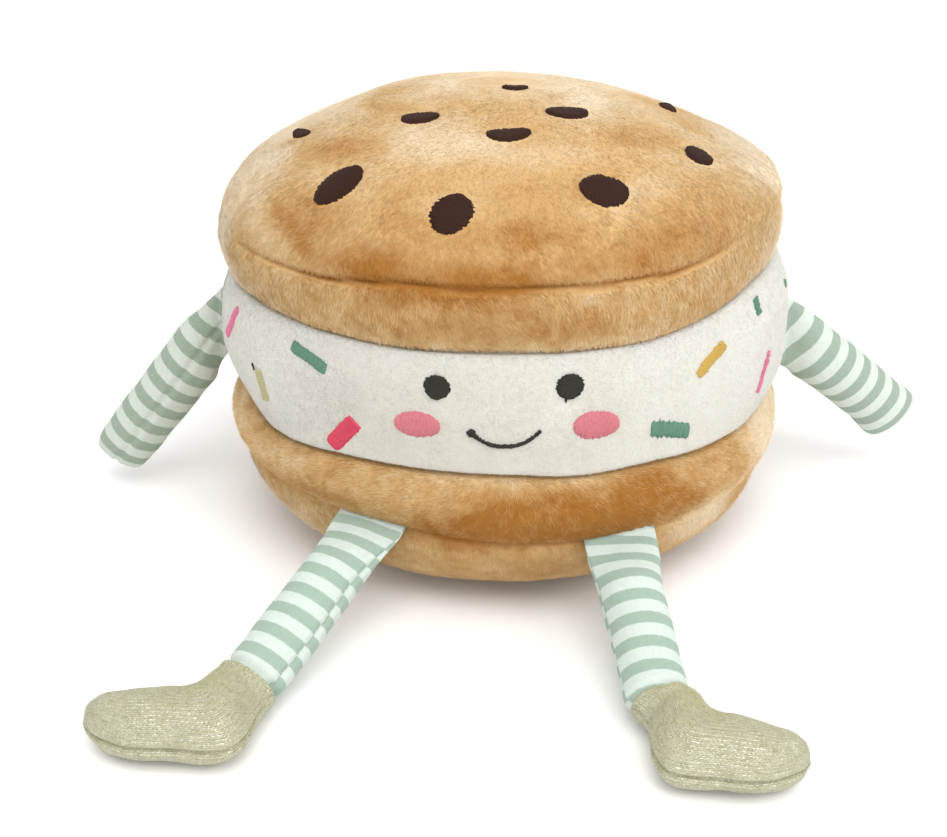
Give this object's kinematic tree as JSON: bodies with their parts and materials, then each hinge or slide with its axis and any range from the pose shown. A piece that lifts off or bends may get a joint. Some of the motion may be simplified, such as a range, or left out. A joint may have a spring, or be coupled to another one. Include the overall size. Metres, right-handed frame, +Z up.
{
  "type": "plush cookie ice cream sandwich",
  "caption": "Sitting soft toy shaped as a cookie ice cream sandwich, with a smiling face, striped arms and legs, and knitted boots.",
  "frame": {"origin": "on the floor under the middle line of the round body, on the flat of the lower cookie's underside", "axes": "+Z up, -Y the way the face looks, +X to the right of a viewer who looks it in the face"},
  "size_m": [0.3094, 0.2713, 0.1525],
  "materials": {
    "cookie_plush": "short biscuit-brown plush with darker patches where the nap is brushed",
    "cream_plush": "very short off-white plush",
    "striped_jersey": "smooth jersey with sage green and pale mint stripes",
    "gold_knit": "ribbed knit with a gold metallic thread"
  },
  "bodies": {
    "root": {"cookie_top": "cookie_plush", "ice_cream": "cream_plush", "cookie_bottom": "cookie_plush", "arm_left": "striped_jersey", "arm_right": "striped_jersey", "leg_left": "striped_jersey", "leg_right": "striped_jersey", "boot_left": "gold_knit", "boot_right": "gold_knit"}
  },
  "joints": []
}
